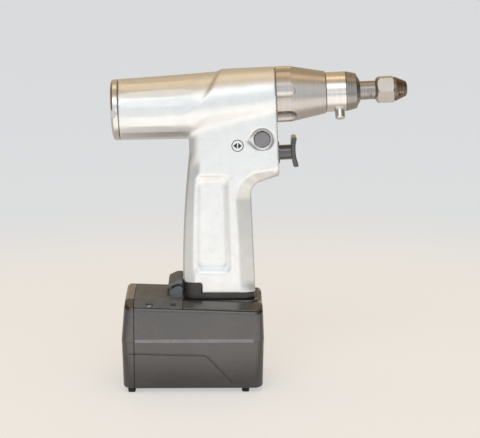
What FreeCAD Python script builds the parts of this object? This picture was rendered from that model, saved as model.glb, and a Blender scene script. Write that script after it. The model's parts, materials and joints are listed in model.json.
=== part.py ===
import FreeCAD, Part
import math
import os

V = FreeCAD.Vector

# The handpiece leans back a little on its battery: the drill axis rises towards the nose.
tilt = 2.6
nose_x = 51.7
nose_z = 184.0

# Barrel and hood. x runs along the drill axis from the front face of the housing, forwards.
barrel_rear = -97.4
barrel_knee = -50.0
barrel_drop = 4.9
barrel_rear_r = 18.95
barrel_knee_r = 20.3
hood_r = 17.45
hood_side_r = 20.7
hood_drop = 3.25
cap_thick = 4.3
cap_spigot = 5.5
cap_spigot_r = 15.4

# Handle: a slab with rounded edges, its front and rear lines are shallow arcs.
handle_half = 15.5
handle_foot_z = 60.6
handle_rear_top = (-1.9, 149.0)
handle_rear_mid = (-5.1, 112.0)
handle_rear_foot = (-6.1, handle_foot_z)
handle_front_foot = (39.2, handle_foot_z)
handle_front_mid = (37.6, 98.0)
handle_front_top = (36.1, 128.6)
boss_under = (54.5, 134.6)
handle_edge_r = 7.0
throat_r = 8.0
notch_depth = 6.4
notch_front = 5.5
recess_depth = 1.0
cavity_top_z = 138.5
lead_drop_x = 6.0

# Fits
slide_gap = 0.3
running_gap = 0.06
press_gap = 0.02

# Gear train, one planetary stage
gear_module = 0.7
sun_teeth = 12
planet_teeth = 12
planet_count = 3
pressure_angle = 20.0
backlash = 0.14
ring_teeth = sun_teeth + 2 * planet_teeth
gear_width = 8.0
gear_rear = -31.0
ring_r = 14.1

# Motor
motor_r = 11.8
motor_wall = 1.0
motor_rear = -88.0
motor_front = -38.0
magnet_r = 6.6
air_gap = 0.5
stack_rear = -76.0
stack_front = -50.0
slot_count = 6
rotor_shaft_r = 2.5
motor_bearing_r = 6.5
lead_pitch = 2.3
lead_r = 0.7
lead_bend_r = 2.0
lead_slot_r = 9.6
lead_run_r = 15.5
bearing_width = 4.0

# Nose
nose_tube_r = 11.6
nose_tube_front = 29.6
nose_bore_r = 8.0
cone_rear = 0.4
cone_knee = 9.2
cone_front = 30.85
cone_rear_r = 17.4
cone_front_r = 13.05
flute_count = 6
flute_r = 10.0
flute_depth = 1.8
flute_end = 13.5
attachment_rear = 31.0
attachment_front = 43.5
attachment_r = 12.35
shank_r = 9.95
shank_rear = 16.0
front_ring_front = 52.3
front_ring_r = 10.95
spindle_r = 5.0
release_pin_x = 39.2
pin_seat_r = 9.25
release_pin_r = 3.0
release_pin_angle = 27.0
release_pin_proud = 5.3
release_pin_travel = 2.2

# Chuck
chuck_r = 5.75
chuck_front = 61.8
hex_front = 73.3
hex_flats = 15.4
jaw_front = 81.2
jaw_rear_r = 7.4
jaw_front_r = 4.5
sleeve_r = 3.5
tool_bore_r = 2.25
tool_bore_depth = 22.0

# Trigger and direction button
trigger_z = 147.5
trigger_r = 4.7
trigger_travel = 6.0
trigger_pad_x = 8.1
trigger_pad_thick = 2.8
trigger_pad_width = 13.0
trigger_tail = 24.0
bushing_r = 6.2
button_x = 43.1
button_z = 158.0
button_r = 4.65
button_travel = 2.5
detent_depth = 0.5
detent_ball_r = 1.15
teardrop_r = 7.6
teardrop_tip = 10.6

# Boards in the handle
board_rear = 1.9
board_front = 31.1
board_face_y = -2.5
board_thick = 1.6
board_foot_z = 68.0
board_top_z = 134.0

# Battery block
foot_height = 2.8
battery_rear = -44.6
battery_front = 44.3
battery_half = 31.0
battery_ridge_z = 33.3
battery_corner_r = 6.0
battery_draft = 1.1
ridge_step = 0.6
side_top_z = 53.65
top_slope = 2.07
deck_rise = 3.7
top_edge_r = 3.0
deck_half = 20.0
seam_x = -36.7
seam_gap = 0.3
battery_wall = 2.2
bay_rear = -6.5
bay_half = 19.0
dock_z = 57.0
shoe_flange = 3.3
rail_neck_half = 8.5
rail_head_half = 12.5
rail_head_z = 50.2
rail_neck_z = 53.6
cell_r = 9.0
cell_length = 65.0
cell_pitch = 18.25
deck_screw_x = -27.2
deck_screw_y = 25.6
latch_width = 26.0
latch_pivot = (-9.6, 62.2)
latch_pin_r = 1.25
latch_well_z = 57.2
latch_spring_length = 6.1
socket_foot_z = 50.4
socket_top_z = 56.4


def box(x0, x1, y0, y1, z0, z1):
    return Part.makeBox(x1 - x0, y1 - y0, z1 - z0, V(x0, y0, z0))


def rod(r, x0, x1, y=0.0, z=0.0):
    return Part.makeCylinder(r, x1 - x0, V(x0, y, z), V(1, 0, 0))


def tube(r_out, r_in, x0, x1, y=0.0, z=0.0):
    return rod(r_out, x0, x1, y, z).cut(rod(r_in, x0 - 1, x1 + 1, y, z))


def turned(points):
    """A solid turned about the drill axis from a closed outline of (x, radius) points."""
    wire = Part.makePolygon([V(x, 0, r) for x, r in points + points[:1]])
    return Part.Face(wire).revolve(V(0, 0, 0), V(1, 0, 0), 360)


def plate_xz(points, y0, y1):
    wire = Part.makePolygon([V(x, y0, z) for x, z in points + points[:1]])
    return Part.Face(wire).extrude(V(0, y1 - y0, 0))


def rounded_wire(x0, x1, half, z, r):
    """A rectangle with round corners, lying flat at height z."""
    solid = box(x0, x1, -half, half, z, z + 1)
    uprights = [e for e in solid.Edges if abs(e.tangentAt(e.FirstParameter).z) > 0.9]
    low = min(solid.makeFillet(r, uprights).Faces, key=lambda f: f.CenterOfMass.z)
    return low.OuterWire


def rounded_box(x0, x1, half, z0, z1, r):
    solid = box(x0, x1, -half, half, z0, z1)
    uprights = [e for e in solid.Edges if abs(e.tangentAt(e.FirstParameter).z) > 0.9]
    return solid.makeFillet(r, uprights)


def joined(shapes):
    first, rest = shapes[0], shapes[1:]
    return first.multiFuse(rest).removeSplitter() if rest else first


def on_nose(shape):
    """Carry a piece that was drawn along the drill axis to its place in the drill."""
    place = FreeCAD.Placement(V(nose_x, 0, nose_z), FreeCAD.Rotation(V(0, 1, 0), -tilt))
    return shape.transformed(place.toMatrix())


def coil(r, wire, start, length, turns):
    """A spring of square wire wound about +X from start."""
    helix = Part.makeHelix(length / turns, length, r)
    half = wire / 2
    corners = [V(r - half, 0, -half), V(r + half, 0, -half), V(r + half, 0, half), V(r - half, 0, half)]
    profile = Part.makePolygon(corners + corners[:1])
    spring = Part.Wire(helix).makePipeShell([profile], True, True)
    spring.rotate(V(0, 0, 0), V(0, 1, 0), 90)
    spring.translate(V(start, 0, 0))
    return spring


def ball_bearing(r_out, r_in, x0, x1):
    """Outer ring, inner ring and the two shields that close the space with the balls."""
    wall = (r_out - r_in) * 0.26
    shield = 0.4
    outer = tube(r_out, r_out - wall, x0, x1)
    inner = tube(r_in + wall, r_in, x0, x1)
    lids = [tube(r_out - wall - press_gap, r_in + wall + running_gap, x, x + shield)
            for x in (x0 + 0.1, x1 - 0.1 - shield)]
    return Part.makeCompound([outer, inner] + lids)


def involute(angle):
    return math.tan(angle) - angle


def gear_outline(teeth, tip_r, root_r, slack, turn):
    """Closed outline of involute teeth in the plane across the drill axis."""
    pitch_r = gear_module * teeth / 2
    base_r = pitch_r * math.cos(math.radians(pressure_angle))
    centre_half = math.pi / (2 * teeth) - slack / (2 * pitch_r)
    steps = 3
    low = max(root_r, base_r)
    radii = [low + (tip_r - low) * i / steps for i in range(steps + 1)]
    if root_r < base_r:
        radii.insert(0, root_r)
    flank = []
    for r in radii:
        roll = involute(math.acos(min(1.0, base_r / r)))
        half = centre_half + involute(math.radians(pressure_angle)) - roll
        flank.append((r, half))
    points = []
    for tooth in range(teeth):
        centre = math.radians(turn) + 2 * math.pi * tooth / teeth
        for r, half in flank:
            points.append(V(0, r * math.cos(centre - half), r * math.sin(centre - half)))
        for r, half in reversed(flank):
            points.append(V(0, r * math.cos(centre + half), r * math.sin(centre + half)))
    return Part.makePolygon(points + points[:1])


def gear(teeth, tip_r, root_r, slack, turn, x0, x1):
    solid = Part.Face(gear_outline(teeth, tip_r, root_r, slack, turn)).extrude(V(x1 - x0, 0, 0))
    solid.translate(V(x0, 0, 0))
    return solid


def ring_place(index, count, r, start=90.0):
    turn = math.radians(start + 360.0 * index / count)
    return r * math.cos(turn), r * math.sin(turn)


# Housing

def handle():
    rear = Part.Arc(V(handle_rear_top[0], 0, handle_rear_top[1]),
                    V(handle_rear_mid[0], 0, handle_rear_mid[1]),
                    V(handle_rear_foot[0], 0, handle_rear_foot[1])).toShape()
    front = Part.Arc(V(handle_front_foot[0], 0, handle_front_foot[1]),
                     V(handle_front_mid[0], 0, handle_front_mid[1]),
                     V(handle_front_top[0], 0, handle_front_top[1])).toShape()
    shoulder = (handle_rear_top[0] - 0.6, handle_rear_top[1] + 14.0)
    web = Part.makeLine(V(shoulder[0], 0, shoulder[1]), V(handle_rear_top[0], 0, handle_rear_top[1]))
    foot = Part.makeLine(rear.Vertexes[-1].Point, front.Vertexes[0].Point)
    boss = Part.makeLine(front.Vertexes[-1].Point, V(boss_under[0], 0, boss_under[1]))
    face = Part.makeLine(V(boss_under[0], 0, boss_under[1]), V(boss_under[0], 0, 178))
    top = Part.makeLine(V(boss_under[0], 0, 178), V(shoulder[0], 0, 178))
    back = Part.makeLine(V(shoulder[0], 0, 178), web.Vertexes[0].Point)
    outline = Part.Wire([web, rear, foot, front, boss, face, top, back])
    slab = Part.Face(outline).extrude(V(0, 2 * handle_half, 0))
    slab.translate(V(0, -handle_half, 0))
    throat = [e for e in slab.Edges if abs(e.CenterOfMass.x - handle_front_top[0]) < 0.1
              and abs(e.CenterOfMass.z - handle_front_top[1]) < 0.1]
    slab = slab.makeFillet(throat_r, throat)
    rims = []
    for edge in slab.Edges:
        middle = edge.CenterOfMass
        along = edge.tangentAt(edge.FirstParameter)
        on_side = abs(abs(middle.y) - handle_half) < 0.01 and abs(along.y) < 0.01
        if on_side and handle_foot_z + 1 < middle.z < 160 and middle.x < boss_under[0] - 0.5:
            rims.append(edge)
    return slab.makeFillet(handle_edge_r, rims)


def barrel():
    rear = Part.Wire(Part.makeCircle(barrel_rear_r, V(barrel_rear, 0, -barrel_drop), V(1, 0, 0)))
    knee = Part.Wire(Part.makeCircle(barrel_knee_r, V(barrel_knee, 0, -barrel_drop), V(1, 0, 0)))
    front = Part.Wire(Part.makeCircle(hood_r, V(0, 0, 0), V(1, 0, 0)))
    return Part.makeLoft([rear, knee], True).fuse(Part.makeLoft([knee, front], True))


def hood():
    """The raised front skin, ended at the rear by an S-shaped step."""
    rear = Part.Wire(Part.makeCircle(barrel_rear_r + 0.7, V(-66, 0, -barrel_drop), V(1, 0, 0)))
    step = Part.Wire(Part.makeCircle(hood_side_r, V(barrel_knee, 0, -hood_drop), V(1, 0, 0)))
    front = Part.Wire(Part.makeCircle(hood_r + 0.02, V(0, 0, 0), V(1, 0, 0)))
    skin = Part.makeLoft([rear, step], True).fuse(Part.makeLoft([step, front], True))
    curve = Part.BSplineCurve()
    curve.interpolate([V(-67, 0, -10.2), V(-59, 0, -7.4), V(-53.2, 0, -4.6), V(-48.1, 0, -1.2),
                       V(-44.4, 0, 2.2), V(-41.6, 0, 5.8), V(-37.7, 0, 12.0), V(-34.4, 0, 16.4),
                       V(-30.5, 0, 22.0)])
    edge = curve.toShape()
    ends = [edge.Vertexes[-1].Point, V(4, 0, 22.0), V(4, 0, -27.0), V(-67, 0, -27.0),
            edge.Vertexes[0].Point]
    lines = [Part.makeLine(ends[i], ends[i + 1]) for i in range(4)]
    region = Part.Face(Part.Wire([edge] + lines)).extrude(V(0, 60, 0))
    region.translate(V(0, -30, 0))
    return skin.common(region)


def rounded_quad(points, radius, y):
    """A four-sided outline with round corners, standing across Y."""
    slab = plate_xz(points, y, y + 1)
    corners = [e for e in slab.Edges if abs(e.tangentAt(e.FirstParameter).y) > 0.9]
    return min(slab.makeFillet(radius, corners).Faces, key=lambda f: f.CenterOfMass.y).OuterWire


def side_recess():
    """Shallow grip panel in the handle's side, its walls flared outwards."""
    floor = rounded_quad([(1.4, 134.4), (20.4, 134.4), (22.6, 74.6), (0.6, 74.6)],
                         3.4, handle_half - recess_depth)
    rim = rounded_quad([(0.4, 136.2), (23.2, 137.0), (24.8, 72.8), (-0.4, 73.0)],
                       4.6, handle_half + 0.4)
    return Part.makeLoft([floor, rim], True, True)


def teardrop(r, tip, y):
    """Round recess with a pointed tail, as a flat wire at depth y."""
    reach = math.acos(r / tip)
    lean = math.radians(188)
    up = lean - reach
    down = lean + reach
    start = V(button_x + r * math.cos(up), y, button_z + r * math.sin(up))
    end = V(button_x + r * math.cos(down), y, button_z + r * math.sin(down))
    middle = V(button_x - r * math.cos(lean), y, button_z - r * math.sin(lean))
    point = V(button_x + tip * math.cos(lean), y, button_z + tip * math.sin(lean))
    arc = Part.Arc(start, middle, end).toShape()
    return Part.Wire([arc, Part.makeLine(end, point), Part.makeLine(point, start)])


def mirrored(shape):
    return shape.mirror(V(0, 0, 0), V(0, 1, 0))


def housing_cavities():
    """Everything that is bored and pocketed out of the casting."""
    gear_bore = rod(ring_r + press_gap, motor_front, -14.5)
    front_bore = rod(14.5 + press_gap, -14.6, 1)
    motor_bore = rod(motor_r + press_gap, motor_rear - 2, motor_front + 1)
    end_bore = rod(cap_spigot_r + press_gap, barrel_rear - 1, barrel_rear + 8.5, 0, -barrel_drop)
    channel = box(-92.0, -43.0, -4.0, 4.0, -18.0, -11.0)
    bored = [on_nose(s) for s in (gear_bore, front_bore, motor_bore, end_bore, channel)]
    cavity = rounded_box(2.6, 30.4, 10.6, handle_foot_z - 1, cavity_top_z, 3.0)
    wire_bore = Part.makeCylinder(3.6, cavity_top_z + 32 - 137, V(lead_drop_x, 0, 137))
    grooves = box(board_rear - 0.2, board_front + 0.2, board_face_y - board_thick - 0.1, board_face_y + 0.1,
                  handle_foot_z - 1, board_top_z + 2.0)
    stem_bore = trigger_frame(rod(trigger_r + slide_gap, -trigger_tail - trigger_travel - 3, 2))
    bushing_bore = trigger_frame(rod(bushing_r + press_gap, -7.0, 2))
    cross_bore = Part.makeCylinder(button_r + running_gap, 60, V(button_x, -30, button_z), V(0, 1, 0))
    detent_bore = rod(detent_ball_r + 0.15, button_x - 12.5, button_x, 0, button_z)
    notch = box(-20, notch_front, -30, 30, handle_foot_z - 1, handle_foot_z + notch_depth)
    return bored + [cavity, grooves, wire_bore, stem_bore, bushing_bore, cross_bore, detent_bore, notch]


def trigger_frame(shape):
    """Carry a piece drawn about the trigger's axis, x = 0 at the housing's front face."""
    drop = trigger_z - nose_z
    face_x = nose_x - drop * math.tan(math.radians(tilt))
    place = FreeCAD.Placement(V(face_x, 0, trigger_z), FreeCAD.Rotation(V(0, 1, 0), -tilt))
    return shape.transformed(place.toMatrix())


def shoe_screw_places():
    return [(8.6, -12.4), (8.6, 12.4), (33.4, -9.0), (33.4, 9.0)]


def housing():
    ahead = on_nose(box(0, 60, -60, 60, -120, 60))
    body = handle().fuse([on_nose(barrel()), on_nose(hood())]).cut(ahead).removeSplitter()
    recess = side_recess()
    outer = teardrop(teardrop_r, teardrop_tip, -handle_half - 0.1)
    inner = teardrop(teardrop_r - 1.5, teardrop_tip - 3.2, -handle_half + 1.7)
    scoop = Part.makeLoft([outer, inner], True)
    screws = [Part.makeCylinder(1.25, 9, V(x, y, handle_foot_z - 0.5)) for x, y in shoe_screw_places()]
    cuts = housing_cavities() + [recess, mirrored(recess), scoop, mirrored(scoop)] + screws
    return body.cut(cuts)


# Barrel end

def rear_cap():
    rim = turned([(0, 0), (0, barrel_rear_r), (-cap_thick + 1.4, barrel_rear_r - 0.15),
                  (-cap_thick + 0.5, barrel_rear_r - 0.8), (-cap_thick, barrel_rear_r - 2.2),
                  (-cap_thick, 0)])
    spigot = rod(cap_spigot_r, 0, cap_spigot).cut(rod(cap_spigot_r - 2, 1, cap_spigot + 1))
    dish = turned([(-cap_thick - 1, 0), (-cap_thick - 1, 12), (-cap_thick + 0.7, 11.2),
                   (-cap_thick + 0.7, 0)])
    key = box(-cap_thick - 1, -cap_thick + 2.2, -9, 9, -1.2, 1.2)
    side_key = box(-cap_thick - 1, -1.6, -barrel_rear_r - 1, -barrel_rear_r + 1.4, -2.2, 2.2)
    cap = rim.fuse(spigot).cut([dish, key, side_key])
    cap.translate(V(barrel_rear - 0.2, 0, -barrel_drop))
    return on_nose(cap)


def rear_cap_seal():
    seal = tube(cap_spigot_r - 0.05, cap_spigot_r - 1.4, cap_spigot + 0.1, cap_spigot + 1.7)
    seal.translate(V(barrel_rear, 0, -barrel_drop))
    return on_nose(seal)


# Motor

def motor_can():
    shell = tube(motor_r, motor_r - motor_wall, motor_rear, motor_front - 0.1)
    web = tube(motor_r - 0.5, motor_bearing_r + 0.01, motor_front - 0.1 - bearing_width, motor_front - 0.1)
    lip = tube(motor_bearing_r + 0.5, 3.6, motor_front - 1.1, motor_front - 0.1)
    return on_nose(joined([shell, web, lip]))


def motor_end_bell():
    bell = tube(motor_r - motor_wall - 0.02, motor_bearing_r + 0.01, motor_rear, motor_rear + 5)
    lip = tube(motor_bearing_r + 0.5, 3.6, motor_rear, motor_rear + 1)
    slots = [box(motor_rear - 1, motor_rear + 6, y - lead_r - 0.3, y + lead_r + 0.3,
                 -motor_r, -lead_slot_r + lead_r + 0.1) for y in lead_rows()]
    posts = [rod(1.0, motor_rear + 4.9, motor_rear + 6.6, *ring_place(i, 3, 8.0)) for i in range(3)]
    return on_nose(joined([bell, lip] + posts).cut(slots))


def stator_core():
    core = tube(motor_r - motor_wall - 0.02, magnet_r + air_gap, stack_rear, stack_front)
    slots = []
    for i in range(slot_count):
        slot = box(stack_rear - 1, stack_front + 1, 7.6, 9.6, -2.6, 2.6)
        mouth = box(stack_rear - 1, stack_front + 1, 6.0, 8.0, -0.7, 0.7)
        for piece in (slot, mouth):
            piece.rotate(V(0, 0, 0), V(1, 0, 0), 30 + 360.0 * i / slot_count)
            slots.append(piece)
    return on_nose(core.cut(slots))


def stator_windings():
    coils = []
    for i in range(slot_count):
        bar = box(stack_rear - 3, stack_front + 3, 7.65, 9.55, -2.5, 2.5)
        bar.rotate(V(0, 0, 0), V(1, 0, 0), 30 + 360.0 * i / slot_count)
        coils.append(bar)
    return on_nose(Part.makeCompound(coils))


def lead_rows():
    return [-lead_pitch, 0.0, lead_pitch]


def bent_wire(points, bend_r, wire_r):
    """A round wire: straight runs joined by tangent bends of one radius."""
    runs = []
    here = points[0]
    for before, corner, after in zip(points, points[1:], points[2:]):
        back = (before - corner).normalize()
        on = (after - corner).normalize()
        half = back.getAngle(on) / 2
        start = corner + back * (bend_r / math.tan(half))
        centre = corner + (back + on).normalize() * (bend_r / math.sin(half))
        disc = Part.Face(Part.Wire(Part.makeCircle(wire_r, start, back)))
        bend = disc.revolve(centre, (back * -1).cross(on), 180 - 2 * math.degrees(half))
        runs += [Part.makeCylinder(wire_r, (start - here).Length, here, start - here), bend]
        here = corner + on * (bend_r / math.tan(half))
    runs.append(Part.makeCylinder(wire_r, (points[-1] - here).Length, here, points[-1] - here))
    return joined(runs)


def motor_leads():
    """Three phase wires: out through the end bell, under the motor and down the handle."""
    leads = []
    for y in lead_rows():
        turn_x = motor_rear - 2.2
        rear = [V(stack_rear - 3.1, y, -lead_slot_r), V(turn_x, y, -lead_slot_r), V(turn_x, y, -lead_run_r)]
        under = on_nose(Part.makePolygon(rear + [V(stack_front, y, -lead_run_r)])).Vertexes
        run = [vertex.Point for vertex in under]
        slope = (run[3] - run[2]).normalize()
        drop = run[2] + slope * ((lead_drop_x - run[2].x) / slope.x)
        foot = V(lead_drop_x, y, board_top_z + 0.3)
        leads.append(bent_wire(run[:3] + [drop, foot], lead_bend_r, lead_r))
    return Part.makeCompound(leads)


def rotor_shaft():
    shaft = rod(rotor_shaft_r, motor_rear + 0.8, gear_rear - 1.0)
    nose = rod(rotor_shaft_r - 0.6, gear_rear - 1.0, gear_rear + gear_width)
    return on_nose(joined([shaft, nose]))


def rotor_magnet():
    body = tube(magnet_r, rotor_shaft_r + press_gap, stack_rear + 1, stack_front - 1)
    return on_nose(body)


def sun_gear():
    pitch_r = gear_module * sun_teeth / 2
    teeth = gear(sun_teeth, pitch_r + 0.9 * gear_module, pitch_r - 1.2 * gear_module,
                 backlash, 90, gear_rear, gear_rear + gear_width)
    return on_nose(teeth.cut(rod(rotor_shaft_r - 0.6 + press_gap, gear_rear - 1, gear_rear + gear_width + 1)))


def planet_centre_r():
    return gear_module * (sun_teeth + planet_teeth) / 2


def planet_gear(index):
    pitch_r = gear_module * planet_teeth / 2
    y, z = ring_place(index, planet_count, planet_centre_r())
    teeth = gear(planet_teeth, pitch_r + 0.9 * gear_module, pitch_r - 1.2 * gear_module,
                 backlash, 90 + 180.0 / planet_teeth, gear_rear + 0.3, gear_rear + gear_width - 0.3)
    teeth = teeth.cut(rod(1.5 + running_gap, gear_rear - 1, gear_rear + gear_width + 1))
    teeth.translate(V(0, y, z))
    return on_nose(teeth)


def ring_gear():
    pitch_r = gear_module * ring_teeth / 2
    spaces = gear(ring_teeth, pitch_r + 1.2 * gear_module, pitch_r - 0.6 * gear_module,
                  -backlash, 90 + 180.0 / ring_teeth, gear_rear - 5, gear_rear + gear_width + 0.5)
    blank = rod(ring_r, motor_front + 0.3, -14.9)
    rest = rod(pitch_r + 1.2 * gear_module, gear_rear + gear_width + 0.4, -14)
    rear = rod(pitch_r + 1.2 * gear_module, motor_front, gear_rear - 1)
    return on_nose(blank.cut([spaces, rest, rear]))


def planet_carrier():
    front = gear_rear + gear_width
    disc = rod(11.6, front + 0.4, front + 4.0)
    hub = rod(6.5, front + 3.9, front + 5.4)
    pins = [rod(1.5, gear_rear - 1.5, front + 1, *ring_place(i, planet_count, planet_centre_r()))
            for i in range(planet_count)]
    bore = rod(spindle_r - 1.0 + press_gap, front - 1, front + 7)
    return on_nose(joined([disc, hub]).cut(bore).fuse(pins))


def output_spindle():
    front = gear_rear + gear_width
    tail = rod(spindle_r - 1.0, front + 1.0, front + 6)
    shaft = rod(spindle_r, front + 5.6, 13.2)
    hexagon = prism_hex(6.0, 13.2, 22.0)
    return on_nose(joined([tail, shaft, hexagon]))


def prism_hex(flats, x0, x1, start=0.0):
    corner = flats / math.sqrt(3)
    points = []
    for i in range(6):
        turn = math.radians(start + 60 * i)
        points.append(V(x0, corner * math.cos(turn), corner * math.sin(turn)))
    return Part.Face(Part.makePolygon(points + points[:1])).extrude(V(x1 - x0, 0, 0))


def bearings(starts, r_out, r_in):
    return on_nose(Part.makeCompound([ball_bearing(r_out, r_in, x, x + bearing_width) for x in starts]))


def chuck_bearings():
    rear = bearings([22.1], 7.68, spindle_r)
    front = bearings([attachment_front + 0.3], 9.03, chuck_r)
    return Part.makeCompound([rear, front])


# Nose

def nose_body():
    return on_nose(turned([
        (-14.5, nose_bore_r), (-14.5, 14.5), (0, 14.5), (0, cone_rear_r - 0.6), (0.3, cone_rear_r - 0.6),
        (0.3, nose_tube_r), (nose_tube_front, nose_tube_r), (nose_tube_front, shank_r + slide_gap),
        (shank_rear - 0.3, shank_r + slide_gap), (shank_rear - 0.3, nose_bore_r - 1.2),
        (10.2, nose_bore_r - 1.2), (10.2, nose_bore_r)]))


def shaft_seal():
    return on_nose(tube(nose_bore_r - 0.02, spindle_r + running_gap, 8.2, 10.1))


def spindle_spacer():
    return on_nose(tube(nose_bore_r - running_gap, nose_bore_r - 1.4, -9.9, 3.9))


def locking_collar():
    inner = nose_tube_r + running_gap
    sleeve = turned([
        (cone_rear, cone_rear_r - 3.9), (cone_rear, cone_rear_r), (cone_knee, cone_rear_r - 0.12),
        (cone_front, cone_front_r), (cone_front, inner), (cone_front - 6.0, inner),
        (cone_front - 6.0, cone_rear_r - 3.9)])
    centre_r = cone_rear_r - flute_depth + flute_r
    reach = math.sqrt(flute_r ** 2 - (centre_r - cone_rear_r) ** 2)
    scoops = []
    for i in range(flute_count):
        y, z = ring_place(i, flute_count, centre_r, 165.0)
        scoops.append(rod(flute_r, -8, flute_end - reach, y, z))
        scoops.append(Part.makeSphere(flute_r, V(flute_end - reach, y, z)))
    return on_nose(sleeve.cut(scoops))


def collar_spring():
    return on_nose(coil(nose_tube_r + 0.95, 0.9, 1.2, 21.0, 5))


def pin_direction():
    turn = math.radians(270 - release_pin_angle)
    return V(0, math.cos(turn), math.sin(turn))


def pin_rod(r, start, length):
    way = pin_direction()
    base = V(release_pin_x, 0, 0) + way * start
    return Part.makeCylinder(r, length, base, way)


def attachment_body():
    ring = turned([
        (attachment_rear, 7.7), (attachment_rear, attachment_r - 0.4), (attachment_rear + 0.4, attachment_r),
        (attachment_front - 0.3, attachment_r), (attachment_front, attachment_r - 0.3),
        (attachment_front, 7.7)])
    shank = tube(shank_r, 7.7, shank_rear, attachment_rear + 1)
    lip = tube(8.2, 6.3, 26.2, 27.2)
    hole = pin_rod(release_pin_r + running_gap, pin_seat_r, 8)
    return on_nose(joined([ring, shank, lip]).cut(hole))


def release_pin():
    start = pin_seat_r + 0.1 + release_pin_travel
    length = attachment_r + release_pin_proud - start
    pin = pin_rod(release_pin_r, start, length)
    tip = V(release_pin_x, 0, 0) + pin_direction() * (start + length)
    rims = [e for e in pin.Edges if (e.CenterOfMass - tip).Length < 0.1]
    return on_nose(pin.makeChamfer(0.5, rims).cut(pin_rod(1.6, start - 0.1, 1.9)))


def release_pin_spring():
    return on_nose(coil(1.05, 0.4, 0.3, 3.5, 3).transformed(pin_placement().toMatrix()))


def pin_placement():
    turn = FreeCAD.Rotation(V(1, 0, 0), pin_direction())
    return FreeCAD.Placement(V(release_pin_x, 0, 0) + pin_direction() * pin_seat_r, turn)


def front_ring():
    start = attachment_front + 0.1
    return on_nose(turned([
        (start, 9.05), (start, attachment_r - 0.1), (start + 0.3, attachment_r),
        (front_ring_front - 2.4, front_ring_r), (front_ring_front, chuck_r + 0.9),
        (front_ring_front, chuck_r + 0.3), (start + bearing_width + 0.5, chuck_r + 0.3),
        (start + bearing_width + 0.5, 9.05)]))


# Chuck

def chuck_shaft():
    body = turned([
        (20.0, 0), (20.0, spindle_r), (33.0, spindle_r), (33.0, chuck_r), (chuck_front, chuck_r),
        (chuck_front, sleeve_r), (jaw_front + 0.3, sleeve_r), (jaw_front + 0.5, sleeve_r - 0.3),
        (jaw_front + 0.5, 0)])
    socket = prism_hex(6.0 + 2 * running_gap, 19.0, 22.5)
    bore = rod(tool_bore_r, jaw_front + 0.5 - tool_bore_depth, jaw_front + 2)
    cross = Part.makeCylinder(1.7 + press_gap, 30, V(chuck_front - 3.1, -15, 0), V(0, 1, 0))
    groove = Part.makeTorus(chuck_r + 0.5, 1.0, V(chuck_front - 3.1, 0, 0), V(1, 0, 0))
    keep = box(chuck_front - 5, chuck_front - 1, -9, 0, -9, 0)
    return on_nose(body.cut([socket, bore, cross, groove.common(keep)]))


def chuck_cross_pin():
    length = chuck_r - tool_bore_r - 0.6
    pins = []
    for side in (-1, 1):
        start = V(chuck_front - 3.1, side * (tool_bore_r + 0.5), 0)
        pins.append(Part.makeCylinder(1.7, length, start, V(0, side, 0)))
    return on_nose(Part.makeCompound(pins))


def chuck_collar():
    """Hexagonal twist collar, corners turned off at its rear end."""
    body = prism_hex(hex_flats, chuck_front + 0.3, hex_front, 0.0)
    corner = hex_flats / math.sqrt(3)
    envelope = turned([
        (chuck_front + 0.3, 0), (chuck_front + 0.3, corner - 2.6), (chuck_front + 1.5, corner - 0.8),
        (chuck_front + 3.2, corner + 0.1), (hex_front - 0.8, corner + 0.1), (hex_front, corner - 0.9),
        (hex_front, 0)])
    bore = rod(sleeve_r + running_gap, chuck_front - 1, hex_front + 1)
    pocket = tube(6.4, sleeve_r, hex_front - 7.0, hex_front + 1)
    return on_nose(body.common(envelope).cut([bore, pocket]))


def chuck_spring():
    return on_nose(coil((6.4 + sleeve_r) / 2, 1.2, hex_front - 6.1, 5.4, 2.5))


def chuck_jaw_nose():
    body = turned([
        (hex_front + 0.2, sleeve_r + press_gap), (hex_front + 0.2, jaw_rear_r),
        (hex_front + 1.4, jaw_rear_r), (jaw_front - 0.6, jaw_front_r + 0.3),
        (jaw_front, jaw_front_r - 0.3), (jaw_front, sleeve_r + press_gap)])
    slots = []
    for i in range(3):
        slot = box(hex_front + 2.8, hex_front + 5.4, 4.9, 9, -1.3, 1.3)
        slot.rotate(V(0, 0, 0), V(1, 0, 0), 200 + 120 * i)
        slots.append(slot)
    return on_nose(body.cut(slots))


# Trigger

def trigger():
    """Round stem with an upright finger plate that is hollow towards the finger."""
    back_x = trigger_pad_x
    front_x = trigger_pad_x + trigger_pad_thick
    stem = rod(trigger_r, -trigger_tail, back_x + 1.2)
    socket = rod(2.0 + press_gap, -trigger_tail - 1, -trigger_tail + 2.0)
    back = [V(back_x + 0.6, 0, 10.0), V(back_x, 0, 0.8), V(back_x + 1.2, 0, -8.8)]
    front = [V(front_x + 1.9, 0, -8.8), V(front_x, 0, 0.8), V(front_x + 1.3, 0, 10.0)]
    wire = Part.Wire([Part.Arc(*back).toShape(), Part.makeLine(back[2], front[0]),
                      Part.Arc(*front).toShape(), Part.makeLine(front[2], back[0])])
    pad = Part.Face(wire).extrude(V(0, trigger_pad_width, 0))
    pad.translate(V(0, -trigger_pad_width / 2, 0))
    ends = [e for e in pad.Edges if abs(e.tangentAt(e.FirstParameter).y) > 0.9]
    pad = pad.makeFillet(1.0, ends)
    rims = [e for e in pad.Edges if abs(abs(e.CenterOfMass.y) - trigger_pad_width / 2) < 0.01]
    return trigger_frame(joined([stem.cut(socket), pad.makeFillet(0.8, rims)]))


def trigger_bushing():
    sleeve = tube(bushing_r, trigger_r + running_gap, -6.9, 0.5)
    return trigger_frame(joined([sleeve, tube(bushing_r + 0.7, trigger_r + running_gap, 0.05, 0.9)]))


def trigger_spring():
    length = trigger_travel + 1.8
    return trigger_frame(coil(2.9, 0.8, -trigger_tail - length - 0.6, length, 5))


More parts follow.
